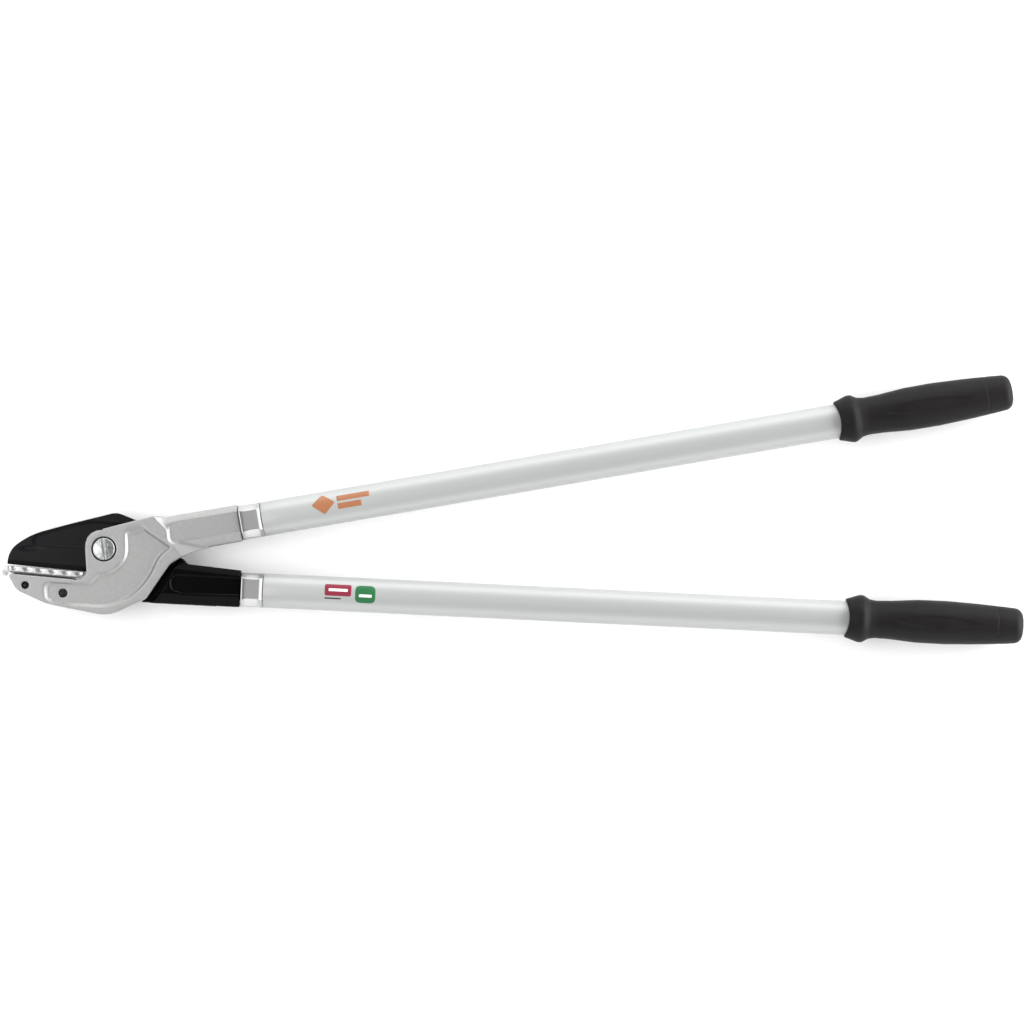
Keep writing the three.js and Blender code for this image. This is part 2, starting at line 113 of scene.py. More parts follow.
def linear(hexcode):
    """A linear RGBA colour from an sRGB hex value."""
    parts = [int(hexcode[i : i + 2], 16) / 255 for i in (1, 3, 5)]
    return [c / 12.92 if c <= 0.04045 else ((c + 0.055) / 1.055) ** 2.4 for c in parts] + [1.0]


def add(tree, kind, inputs, output=0, feeds=None, **settings):
    """Adds a node with its settings, sets or links its inputs, and may feed one of the shader's sockets."""
    made = tree.nodes.new(kind)
    for name, value in settings.items():
        setattr(made, name, value)
    for socket, value in inputs.items():
        if isinstance(value, bpy.types.NodeSocket):
            tree.links.new(value, made.inputs[socket])
        elif isinstance(value, str):
            made.inputs[socket].default_value = linear(value)
        else:
            made.inputs[socket].default_value = value
    if feeds:
        tree.links.new(made.outputs[output], tree.nodes["Principled BSDF"].inputs[feeds])
    return made.outputs[output]


def surface(name, colour, **uniform):
    """A new material with its even values, its node tree and the piece's own coordinates."""
    made = bpy.data.materials.new(name)
    made.use_nodes = True
    tree = made.node_tree
    shader = tree.nodes["Principled BSDF"]
    shader.inputs["Base Color"].default_value = linear(colour)
    for socket, value in uniform.items():
        shader.inputs[socket.replace("_", " ")].default_value = value
    return made, tree, add(tree, "ShaderNodeTexCoord", {}, "Object")


def per_mm(size):
    """The scale of a pattern whose patches are about this many millimetres across."""
    return 1 / (size * MM)


MAPPING, NOISE, MIX, RANGE, BUMP = [
    "ShaderNode" + kind for kind in ("Mapping", "TexNoise", "Mix", "MapRange", "Bump")
]
FACTOR, FIRST, SECOND, MIXED = 0, 6, 7, 2  # a colour mix's sockets
NOISE_SPAN = {"From Min": 0.3, "From Max": 0.7}  # where nearly all of a noise's values lie


def blasted_aluminium():
    """Drop-forged aluminium, shot-blasted: an even, silky grey with a fine grit that blurs reflections."""
    made, tree, place = surface("blasted_forged_aluminium", "#a1a2a1", Metallic=1.0)
    # Real grit is about 0.2 mm across, too fine to show, so it is drawn coarser.
    grit = add(tree, NOISE, {"Vector": place, "Scale": per_mm(1.1), "Detail": 3})
    cloud = add(tree, NOISE, {"Vector": place, "Scale": per_mm(3), "Detail": 4})
    tones = {FACTOR: cloud, FIRST: "#9b9c9b", SECOND: "#a7a8a7"}
    add(tree, MIX, tones, MIXED, "Base Color", data_type="RGBA")
    add(tree, RANGE, {"Value": grit, "To Min": 0.48, "To Max": 0.62, **NOISE_SPAN}, 0, "Roughness")
    add(tree, BUMP, {"Height": grit, "Distance": 0.08 * MM, "Strength": 1}, 0, "Normal")
    return made


def bare_aluminium(turn):
    """Drawn aluminium, pressed to shape and left bare: bright, with fine lines along the handle."""
    made, tree, place = surface("bare_drawn_aluminium", "#b3b4b3", Metallic=1.0)
    drawn_out = add(tree, MAPPING, {"Vector": place, "Rotation": (0, 0, -turn), "Scale": (0.03, 1, 1)})
    lines = add(tree, NOISE, {"Vector": drawn_out, "Scale": per_mm(0.8), "Detail": 2})
    add(tree, RANGE, {"Value": lines, "To Min": 0.3, "To Max": 0.36, **NOISE_SPAN}, 0, "Roughness")
    add(tree, BUMP, {"Height": lines, "Distance": 0.004 * MM, "Strength": 1}, 0, "Normal")
    return made


def machined_alloy():
    """Cast light alloy with a milled face: brighter than the lever, with cutter marks across it."""
    made, tree, place = surface("machined_alloy", "#babbba", Metallic=1.0)
    upright = add(tree, MAPPING, {"Vector": place, "Scale": (1, 1, 0.1)})
    marks = add(tree, NOISE, {"Vector": upright, "Scale": per_mm(0.6), "Detail": 2})
    pores = add(tree, NOISE, {"Vector": place, "Scale": per_mm(1.6), "Detail": 3})
    tones = {FACTOR: pores, FIRST: "#a9aaa9", SECOND: "#c6c7c6"}
    add(tree, MIX, tones, MIXED, "Base Color", data_type="RGBA")
    add(tree, RANGE, {"Value": marks, "To Min": 0.24, "To Max": 0.4, **NOISE_SPAN}, 0, "Roughness")
    add(tree, BUMP, {"Height": marks, "Distance": 0.03 * MM, "Strength": 1}, 0, "Normal")
    return made


def zinc_steel():
    """Zinc-plated steel: a cool, bright grey with a slightly cloudy plating."""
    made, tree, place = surface("zinc_plated_steel", "#b3b7bb", Metallic=1.0)
    cloud = add(tree, NOISE, {"Vector": place, "Scale": per_mm(2.5), "Detail": 3})
    fine = add(tree, NOISE, {"Vector": place, "Scale": per_mm(0.5), "Detail": 2})
    tones = {FACTOR: cloud, FIRST: "#a6abb0", SECOND: "#c3c6c8"}
    add(tree, MIX, tones, MIXED, "Base Color", data_type="RGBA")
    add(tree, RANGE, {"Value": cloud, "To Min": 0.22, "To Max": 0.34, **NOISE_SPAN}, 0, "Roughness")
    add(tree, BUMP, {"Height": fine, "Distance": 0.01 * MM, "Strength": 1}, 0, "Normal")
    return made


def polished_steel():
    """Turned and polished steel, as on the bolt's head: bright, with soft waves that blur reflections."""
    made, tree, place = surface("polished_steel", "#a9aaab", Metallic=1.0)
    scuffs = add(tree, NOISE, {"Vector": place, "Scale": per_mm(2.2), "Detail": 2})
    add(tree, RANGE, {"Value": scuffs, "To Min": 0.26, "To Max": 0.42, **NOISE_SPAN}, 0, "Roughness")
    add(tree, BUMP, {"Height": scuffs, "Distance": 0.35 * MM, "Strength": 1}, 0, "Normal")
    return made


def blackened_steel():
    """Steel with a black phosphate skin, as pressed pins have: dull, dark and faintly mottled."""
    made, tree, place = surface("blackened_steel", "#2c2c2d", Metallic=1.0)
    mottle = add(tree, NOISE, {"Vector": place, "Scale": per_mm(0.9), "Detail": 3})
    fine = add(tree, NOISE, {"Vector": place, "Scale": per_mm(0.5), "Detail": 2})
    tones = {FACTOR: mottle, FIRST: "#222223", SECOND: "#363637"}
    add(tree, MIX, tones, MIXED, "Base Color", data_type="RGBA")
    add(tree, RANGE, {"Value": fine, "To Min": 0.4, "To Max": 0.55, **NOISE_SPAN}, 0, "Roughness")
    return made


def sintered_bronze():
    """Oil-filled sintered bronze, as plain bearings are: dull brown-gold and slightly porous."""
    made, tree, place = surface("sintered_bronze", "#9a7446", Metallic=1.0)
    pores = add(tree, NOISE, {"Vector": place, "Scale": per_mm(0.6), "Detail": 2})
    add(tree, RANGE, {"Value": pores, "To Min": 0.35, "To Max": 0.55, **NOISE_SPAN}, 0, "Roughness")
    add(tree, BUMP, {"Height": pores, "Distance": 0.02 * MM, "Strength": 1}, 0, "Normal")
    return made


def blade_coating():
    """Baked non-stick coating over ground steel: near black, satin, and just thick enough to pool."""
    made, tree, place = surface("baked_blade_coating", "#100e11", Specular_IOR_Level=0.14)
    pooling = add(tree, NOISE, {"Vector": place, "Scale": per_mm(1.1), "Detail": 2})
    cloud = add(tree, NOISE, {"Vector": place, "Scale": per_mm(16), "Detail": 1})
    tones = {FACTOR: cloud, FIRST: "#0a080b", SECOND: "#100e11"}
    add(tree, MIX, tones, MIXED, "Base Color", data_type="RGBA")
    add(tree, RANGE, {"Value": pooling, "To Min": 0.28, "To Max": 0.36, **NOISE_SPAN}, 0, "Roughness")
    add(tree, BUMP, {"Height": pooling, "Distance": 0.02 * MM, "Strength": 1}, 0, "Normal")
    return made


def black_lacquer():
    """Sprayed black lacquer over a forging: glossier than the blade, with a soft orange-peel surface."""
    made, tree, place = surface("black_sprayed_lacquer", "#050405", Specular_IOR_Level=0.05)
    peel = add(tree, NOISE, {"Vector": place, "Scale": per_mm(1.8), "Detail": 1})
    add(tree, RANGE, {"Value": peel, "To Min": 0.2, "To Max": 0.28, **NOISE_SPAN}, 0, "Roughness")
    add(tree, BUMP, {"Height": peel, "Distance": 0.03 * MM, "Strength": 1}, 0, "Normal")
    return made


def silver_lacquer():
    """Silver-white lacquer on a drawn tube: pale flakes in a clear binder give a soft, milky shine."""
    binder = {"Coat_Weight": 0.15, "Coat_Roughness": 0.2}
    made, tree, place = surface("silver_white_lacquer", "#adafae", Metallic=0.4, **binder)
    # Real flakes are about 0.05 mm across, too fine to show, so they are drawn coarser.
    flakes = add(tree, NOISE, {"Vector": place, "Scale": per_mm(0.7), "Detail": 2})
    tones = {FACTOR: flakes, FIRST: "#aaacab", SECOND: "#b0b2b1"}
    add(tree, MIX, tones, MIXED, "Base Color", data_type="RGBA")
    add(tree, RANGE, {"Value": flakes, "To Min": 0.48, "To Max": 0.56, **NOISE_SPAN}, 0, "Roughness")
    add(tree, BUMP, {"Height": flakes, "Distance": 0.006 * MM, "Strength": 1}, 0, "Normal")
    return made


def soft_plastic():
    """Soft moulded grip plastic: charcoal, matt, with the fine leather-like grain of its mould."""
    made, tree, place = surface("soft_moulded_plastic", "#181617", Specular_IOR_Level=0.13)
    # The real grain is about 0.45 mm across; it is drawn twice as large, so that it shows.
    grain = {"Vector": place, "Scale": per_mm(0.9)}
    cells = add(tree, "ShaderNodeTexVoronoi", grain, "Distance", feature="SMOOTH_F1")
    cloud = add(tree, NOISE, {"Vector": place, "Scale": per_mm(20), "Detail": 2})
    tones = {FACTOR: cloud, FIRST: "#161415", SECOND: "#1b191a"}
    add(tree, MIX, tones, MIXED, "Base Color", data_type="RGBA")
    add(tree, RANGE, {"Value": cloud, "To Min": 0.48, "To Max": 0.58, **NOISE_SPAN}, 0, "Roughness")
    add(tree, BUMP, {"Height": cells, "Distance": 0.06 * MM, "Strength": 1}, 0, "Normal")
    return made


def nylon_and_painted_shade():
    """Black moulded nylon, as bearing washers are: dark, waxy and slightly rough; its black is also painted
    shade for the shadowed gap round the bolt's head.
    """
    made, tree, place = surface("black_nylon_and_painted_shade", "#161618")
    fine = add(tree, NOISE, {"Vector": place, "Scale": per_mm(0.8), "Detail": 2})
    add(tree, RANGE, {"Value": fine, "To Min": 0.45, "To Max": 0.6, **NOISE_SPAN}, 0, "Roughness")
    return made


def printing_ink(name, colour, thicker):
    """Screen-printing ink: an even, slightly glossy film that is a little thicker in places."""
    made, tree, place = surface(name, colour)
    film = add(tree, NOISE, {"Vector": place, "Scale": per_mm(0.8), "Detail": 3})
    fine = add(tree, NOISE, {"Vector": place, "Scale": per_mm(0.5), "Detail": 2})
    add(tree, MIX, {FACTOR: film, FIRST: colour, SECOND: thicker}, MIXED, "Base Color", data_type="RGBA")
    add(tree, RANGE, {"Value": fine, "To Min": 0.34, "To Max": 0.46, **NOISE_SPAN}, 0, "Roughness")
    return made


def painted_floor():
    """Matt white paint on a studio floor: pale and even, with the faintest unevenness."""
    made, tree, place = surface("matt_white_floor_paint", "#fdfdfd", Roughness=0.9)
    cloud = add(tree, NOISE, {"Vector": place, "Scale": per_mm(300), "Detail": 2})
    tones = {FACTOR: cloud, FIRST: "#fbfbfb", SECOND: "#fdfdfd"}
    add(tree, MIX, tones, MIXED, "Base Color", data_type="RGBA")
    return made


# ---- Meshes ----


def add_piece(name, points, faces, place, material, body, replaced=()):
    """A mesh piece from points in millimetres, riding on a body in place of the CAD nodes it replaces."""
    mesh = bpy.data.meshes.new(name)
    corners = np.asarray(points, float).reshape(-1, 3) @ np.array(place.to_3x3()).T + place.translation
    mesh.from_pydata(corners.tolist(), [], [list(face) for face in faces])
    mesh.polygons.foreach_set("use_smooth", [True] * len(mesh.polygons))
    mesh.materials.append(material)
    piece = bpy.data.objects.new(name, mesh)
    bpy.context.collection.objects.link(piece)
    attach(piece, body)
    if replaced:
        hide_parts(*replaced)
    return piece


def crease(piece, degrees=35):
    """Keeps edges sharper than the angle crisp under smooth shading."""
    piece.data.set_sharp_from_angle(angle=math.radians(degrees))
    return piece


def skin(rings, closed=False):
    """Points and faces of a closed skin through rings of points; solid ends, or joined end to end."""
    rings = np.asarray(rings, float)
    count, size = rings.shape[:2]
    index = np.arange(count * size).reshape(count, size)
    here, after = index, np.roll(index, -1, axis=0)
    if not closed:
        here, after = here[:-1], after[:-1]
    around, around_after = np.roll(here, -1, axis=1), np.roll(after, -1, axis=1)
    faces = np.stack([here, around, around_after, after], axis=-1).reshape(-1, 4).tolist()
    if not closed:
        faces += [index[0, ::-1].tolist(), index[-1].tolist()]
    return rings.reshape(-1, 3), faces


def arc_corners(corners, steps=6):
    """An outline through corners (x, y, rounding radius), each rounded by a short curve."""
    points = []
    for i, (x, y, *rounding) in enumerate(corners):
        corner = np.array([x, y])
        before = np.array(corners[i - 1][:2]) - corner
        after = np.array(corners[(i + 1) % len(corners)][:2]) - corner
        before, after = before / np.linalg.norm(before), after / np.linalg.norm(after)
        radius = rounding[0] if rounding else 0
        reach = radius / math.tan(math.acos(np.clip(before @ after, -1, 1)) / 2)
        for t in np.linspace(0, 1, steps if radius else 1):
            points.append(corner + (1 - t) ** 2 * before * reach + t * t * after * reach)
    return [tuple(point) for point in points]


def turned(profile, centre=(0.0, 0.0), sides=64):
    """Rings about the vertical line through a centre, from (radius, level) points."""
    angles = np.linspace(0, 2 * math.pi, sides, endpoint=False)
    radii, levels = zip(*profile)
    across, up = centre[X] + np.outer(radii, np.cos(angles)), centre[Y] + np.outer(radii, np.sin(angles))
    return np.stack([across, up, np.outer(levels, np.ones(sides))], axis=2)


# ---- Distance fields, for forged and ground shapes ----


def block(low, high, step):
    """Open grid coordinates over a box."""
    lines = [np.arange(a, b + s, s) for a, b, s in zip(low, high, step)]
    return np.meshgrid(*lines, indexing="ij", sparse=True)


def within(corners, x, y):
    """Signed distance to a closed outline, negative inside."""
    nearest = np.full(np.broadcast_shapes(x.shape, y.shape), np.inf)
    inside = np.zeros(nearest.shape, bool)
    for (ax, ay), (bx, by) in zip(corners, corners[1:] + corners[:1]):
        ex, ey = bx - ax, by - ay
        along = np.clip(((x - ax) * ex + (y - ay) * ey) / (ex * ex + ey * ey + 1e-12), 0, 1)
        nearest = np.minimum(nearest, (x - ax - ex * along) ** 2 + (y - ay - ey * along) ** 2)
        if ay != by:
            inside ^= ((ay > y) != (by > y)) & (x < ax + ex * (y - ay) / ey)
    return np.sqrt(nearest) * np.where(inside, -1, 1)


def eased(t):
    """A smooth rise from 0 to 1."""
    t = np.clip(t, 0, 1)
    return t * t * (3 - 2 * t)


def slab(flat, z, low, high, edge=0.8, draft=0.0):
    """A plan shape between two levels, with rounded edges and sides that lean in as they rise."""
    side = flat + draft * (z - low) + edge
    level = np.abs(z - (low + high) / 2) - (high - low) / 2 + edge
    outer = np.hypot(np.maximum(side, 0), np.maximum(level, 0))
    return np.minimum(np.maximum(side, level), 0) + outer - edge


def join(a, b, blend=0.5):
    """Both shapes, with a fillet where they meet."""
    overlap = np.maximum(blend - np.abs(a - b), 0)
    return np.minimum(a, b) - overlap * overlap / (4 * blend)


def trim(a, b, blend=0.5):
    """The first shape without the second, with a softened edge."""
    return -join(-a, b, blend)


def both(a, b, blend=0.5):
    """What two shapes have in common, with a softened edge."""
    return -join(-a, -b, blend)


def field_skin(field, low, step):
    """Points and faces of a field's zero level: a point in each crossed cell, a quad on each crossed edge."""
    inside = field < 0
    strides = np.array([field.shape[1] * field.shape[2], field.shape[2], 1])
    units = np.eye(3, dtype=int)
    cells, spots = [], []
    for axis in range(3):
        near = tuple(slice(None, -1) if k == axis else slice(None) for k in range(3))
        far = tuple(slice(1, None) if k == axis else slice(None) for k in range(3))
        at = np.argwhere(inside[near] != inside[far])
        start, end = field[tuple(at.T)], field[tuple((at + units[axis]).T)]
        spot = at.astype(float)
        spot[:, axis] += start / (start - end)
        side, other = units[(axis + 1) % 3], units[(axis + 2) % 3]
        around = np.stack([(at - k) @ strides for k in (0 * side, side, side + other, other)], axis=1)
        cells.append(np.where((start < 0)[:, None], around, around[:, ::-1]))
        spots.append(np.repeat(spot, 4, axis=0))
    cells = np.concatenate(cells)
    index = np.unique(cells, return_inverse=True)[1]
    index = index.ravel()
    spots = np.concatenate(spots)
    counts = np.bincount(index)
    points = np.stack([np.bincount(index, spots[:, k]) / counts for k in range(3)], axis=1)
    return np.array(low) + points * np.array(step), index.reshape(-1, 4)


def handle_line(side, x, y):
    """A head point's distance along a handle and across it."""
    along = HANDLES[side].to_3x3().col[X].normalized()
    start = (HANDLES[side].translation - PIVOT) / MM
    u, v = x - start.x, y - start.y
    return u * along.x + v * along.y, v * along.x - u * along.y


def tilted(x, y, angle):
    """Coordinates in axes turned by an angle."""
    return x * math.cos(angle) + y * math.sin(angle), y * math.cos(angle) - x * math.sin(angle)


def beyond_line(x, y, start, end):
    """Signed distance to the left of a line, seen along it."""
    ex, ey = end[X] - start[X], end[Y] - start[Y]
    return ((y - start[Y]) * ex - (x - start[X]) * ey) / math.hypot(ex, ey)


def tang(along, across, z):
    """The plain tang that a handle's sleeve and tube sit on."""
    bar = np.maximum(np.abs(across) - TANG_HALF_HEIGHT, np.abs(z) - TANG_HALF_DEPTH)
    return both(bar, np.maximum(SOCKET_END - 4 - along, along - TANG_END), 1.0)


# ---- The anvil side's head ----


def socket_slopes(rise, to_top, to_bottom):
    """The slopes along a socket's long edges: narrow at the top, wide at the bottom."""
    top = ((to_top + 6.1) * 3.2 + (rise - SOCKET_HALF_DEPTH) * 6.1) / math.hypot(3.2, 6.1)
    bottom = ((to_bottom + 9.3) * 6 + (rise - SOCKET_HALF_DEPTH) * 9.3) / math.hypot(6, 9.3)
    return both(top, bottom, 1.0)


def anvil_lever(material):
    """The silver forging: a plate with a pocket, the thick jaw below it, the socket and the tang."""
    step = np.full(3, 0.6)
    low = np.array([-81.0, -55.0, -11.0])
    x, y, z = block(low, (172.0, 36.0, 13.5), step)
    along, across = handle_line("upper", x, y)
    foot = arc_corners(
        [
            (-15, 15.5, 15),
            (-3, 15.4, 3),
            (39.5, 23.6, 2),
            (46.5, 22.8),
            (64, 14),
            (84, 4),
            (84, -3.6, 3),
            (70, -6.6, 9),
            (60.3, -10.2, 1.5),
            (51, -15.2, 8),
            (30.5, -41.3, 9),
            (0, -53, 28),
            (-28.5, -45.5, 1),
            (-31, -44.0, 1),
            (-38, -42.0),
            (-38, -22.6),
            (-24, -22.9, 1),
            (-20, -22.4, 3),
            (-15, -18, 4),
        ]
    )
    panel = arc_corners([(52.6, 17.2, 5), (116, 23.0), (116, 9.4), (52.6, 1.4, 5)])
    crest = arc_corners(
        [(-90, 50), (30, 50), (41, 21.8, 3), (50.2, 11.2, 6), (50, 3, 8), (62, -12), (62, -60), (-90, -60)]
    )
    jaw = arc_corners(
        [
            (-77.4, -14.1, 2.5),
            (-24, -22.3, 1),
            (-28.2, -28, 2),
            (-28.2, -45.8, 1.5),
            (-48, -40.2, 20),
            (-70.6, -28.2, 12),
        ]
    )
    pocket = arc_corners(
        [
            (-47.8, -23.2, 6),
            (-13.2, -27.2, 5),
            (-4.4, -19.3, 2),
            (3.0, -19.5, 5),
            (17.6, -10.4, 18),
            (18.4, 11.6, 3),
            (31.5, 13.9, 0.8),
            (51.8, -2.0, 1.2),
            (43, -8.2, 26),
            (31, -30.5, 50),
            (5, -46.2, 40),
            (-32, -41.4, 20),
            (-47.5, -37.0, 5),
        ],
        10,
    )

    # The pocket's wall is wide at the jaw's tip, narrow along the jaw, and fades out at the pocket's top.
    fading = eased(1 - np.hypot(x - 25, y - 17) / 11)
    wall_width = 3.4 + 2.0 * eased((-41 - x) / 4) + 12 * fading
    wall_width = wall_width - 1.8 * eased((-26 - x) / 6) * eased((x + 46) / 4)
    pressed = (LEVER_FRONT - POCKET_FLOOR) * eased(0.5 - within(pocket, x, y) / wall_width)
    # The plate falls to the socket in a steep wall along its crest, and runs out gently below it.
    steepness = 0.8 - 0.42 * eased((-1.5 - across) / 6)
    front = LEVER_FRONT - pressed - np.maximum(within(crest, x, y), 0) * steepness
    body = slab(within(foot, x, y), z, LEVER_BACK, LEVER_FRONT, 1.1, 0.03)
    body = join(body, slab(within(jaw, x, y), z, JAW_BACK, LEVER_FRONT, 1.2, 0.02), 0.8)
    body = both(body, (z - front) * 0.8, 0.5)
    sleeve = both(np.abs(z) - SOCKET_HALF_DEPTH, np.abs(across) - 14.5, 1.5)
    sleeve = both(sleeve, socket_slopes(np.abs(z), across - 14.5, -across - 14.5), 1.0)
    sleeve = both(sleeve, np.maximum(48 - along, along - SOCKET_END), 1.2)
    body = join(body, sleeve, 1.2)
    body = trim(body, np.maximum(within(panel, x, y) - 1.2 * (z - 8.9), 8.9 - z), 0.7)
    body = join(body, tang(along, across, z), 1.0)

    edge_x, edge_y = tilted(x, y, EDGE_TILT)
    slot = np.maximum(np.maximum(np.abs(z - 1) - 2.3, np.abs(edge_x + 46) - 23.3), -42.3 - edge_y)
    body = trim(body, slot, 0.3)
    radius = np.hypot(x, y)
    body = trim(body, np.maximum(radius - COUNTERBORE_RADIUS, COUNTERBORE_FLOOR - z), 0.6)
    body = trim(body, radius - BUSH_RADIUS - CLEARANCE, 0.3)
    for px, py, pin_radius in PINS.values():
        hole = np.hypot(x - px, y - py) - pin_radius - 0.25
        countersink = np.hypot(x - px - 0.3, y - py) - pin_radius - 0.9 - (z - LEVER_FRONT)
        body = trim(body, np.minimum(hole, countersink), 0.4)
    pin_hole = np.maximum(np.hypot(along - TANG_PIN_PLACE, across) - TANG_PIN_HOLE_RADIUS, np.abs(z) - 6)
    body = trim(body, pin_hole, 0.3)

    points, faces = field_skin(body, low, step)
    node = "anvil_lever"
    add_piece("forged_anvil_lever", points, faces, HEAD, material, "anvil_side", [node])


def anvil_plate(material):
    """The anvil, with its row of sap notches along the front and back edges and its hooked nose."""
    step = np.array([0.45, 0.3, 0.45])
    low = np.array([-80.0, -43.5, -8.5])
    x, y, z = block(low, (-11.5, -18.5, 10.5), step)
    section = arc_corners(
        [
            (-75.6, ANVIL_TOP, 0.8),
            (-13.2, ANVIL_TOP, 1.5),
            (-15.0, -22.4, 3),
            (-20.5, ANVIL_BOTTOM, 4),
            (-74.6, ANVIL_BOTTOM, 0.5),
            (-75.4, -28.4, 0.8),
            (-78.1, -28.2, 0.8),
            (-78.3, -24.8, 1.0),
        ]
    )
    tongue = arc_corners([(-69, -24), (-69, -33, 2), (-58, -39.5, 4), (-23, -42, 3), (-23, -24)])
    flat = within(section, x, y)
    body = slab(flat, z, -7.0, 9.0, 0.5)
    under = (ANVIL_BOTTOM + 1.5 - y) + (z - 9.0)
    body = np.maximum(body, under / math.sqrt(2))
    hook = (-23.6 - y) + (z - 9.0) * 0.5
    body = np.maximum(body, np.where(x < -75.2, hook * 0.9, -9.0))
    body = join(body, slab(within(tongue, x, y), z, -1.0, 3.0, 0.2), 0.3)
    for k in range(6):
        across_notch = np.hypot((x + 69 - 10.3 * k) / 3.3, (y - ANVIL_TOP - 0.3) / 3.9)
        notch = np.hypot(across_notch, (np.abs(z - 1) - 8.3) / 1.1) - 1
        body = trim(body, notch * 1.2, 0.3)
    ridge = np.maximum(np.abs(x + 72.2) - 0.35, np.abs(z - 9.2) - 0.7)
    body = trim(body, np.maximum(ridge, ANVIL_TOP - 4.4 - y), 0.3)
    for px, py, pin_radius in PINS.values():
        hole_x, hole_y = tilted(px, py, EDGE_TILT)
        body = trim(body, np.hypot(x - hole_x, y - hole_y) - pin_radius - 0.3, 0.2)
    points, faces = field_skin(body, low, step)
    place = HEAD @ Matrix.Rotation(EDGE_TILT, 4, "Z")
    add_piece("machined_anvil", points, faces, place, material, "anvil_side", ["anvil_plate"])


def anvil_pin(name, material):
    """A pin pressed into the jaw, with chamfered, slightly domed ends below both faces."""
    px, py, radius = PINS[name]
    low, high = JAW_BACK + PIN_RECESS, LEVER_FRONT - PIN_RECESS
    end = [(0.02, 0.3), (radius * 0.5, 0.22), (radius - 0.7, 0.0), (radius - 0.1, -0.6), (radius, -0.75)]
    profile = [(r, low - rise) for r, rise in end] + [(r, high + rise) for r, rise in end[::-1]]
    points, faces = skin(turned(profile, (px, py), 48))
    piece = add_piece("pressed_" + name, points, faces, HEAD, material, "anvil_side", [name])
    crease(piece, 50)


def ring_piece(name, node, inner, outer, low, high, material, body, slot, edge=0.15):
    """A flat ring, such as a washer or bush, with small chamfers."""
    section = [(inner, low + edge), (inner + edge, low), (outer - edge, low), (outer, low + edge)]
    section += [(outer, high - edge), (outer - edge, high), (inner + edge, high), (inner, high - edge)]
    points, faces = skin(turned(section, sides=96), closed=True)
    crease(add_piece(name, points, faces, HEAD, material, body, [node]))


# ---- The blade side's head ----


def blade(material):
    """The blade, laid along its edge: ground to a wedge, with a leaf and a dimple pressed in."""
    step = np.array([0.5, 0.4, 0.25])
    low = np.array([-78.0, -40.0, -3.2])
    x, y, z = block(low, (50.0, 33.0, 2.8), step)
    head_x, head_y = tilted(x, y, -EDGE_TILT)
    outline = arc_corners(
        [
            (-77.6, -7.2, 0.3),
            (-75.6, 4.2, 20),
            (-57, 15.1, 60),
            (-24, 21.8, 100),
            (11, 28.2, 14),
            (27, 20.5, 4),
            (42, 2, 8),
            (36, -24, 10),
            (20, -38, 8),
            (9, -16.5, 4),
            (-12.5, -16.5, 1),
            (-15.6, -17.25, 0.4),
        ],
        steps=12,
    )
    leaf = arc_corners(
        [
            (-55.5, 8.8, 2),
            (-53.5, 12.6, 3),
            (-30, 17.9, 30),
            (-9, 21.0, 12),
            (14, 17.8),
            (4, 1),
            (-16, 3.0),
            (-48, 6.9, 12),
        ]
    )
    dimple = np.hypot((head_x + 58.8) / 5.2, (head_y - 4.2 + (head_x + 58.8) * 0.05) / 1.4) - 1
    body = slab(within(outline, head_x, head_y), z, BLADE_BACK, BLADE_FRONT, 0.45)
    middle = (BLADE_FRONT + BLADE_BACK) / 2
    bevel = (np.abs(z - middle) - 0.22 - (y + EDGE_DROP) * 0.42) / math.hypot(1, 0.42)
    body = both(body, bevel, 0.25)
    for face in (1, -1):
        depth = (z - middle) * face - 1.1
        walls = within(leaf, head_x, head_y) - 1.9 * depth
        body = trim(body, np.maximum(walls * 0.5, -depth), 0.5)
        sunk = (z - middle) * face - 1.55
        body = trim(body, np.maximum(dimple * 1.4 - 1.6 * sunk, -sunk), 0.9)
    body = trim(body, np.hypot(x, y) - BOLT_BORE, 0.2)
    for px, py in RIVETS.values():
        body = trim(body, np.hypot(head_x - px, head_y - py) - RIVET_HOLE_RADIUS, 0.2)
    points, faces = field_skin(body, low, step)
    place = HEAD @ Matrix.Rotation(EDGE_TILT, 4, "Z")
    add_piece("coated_blade", points, faces, place, material, "blade_side", ["blade"])


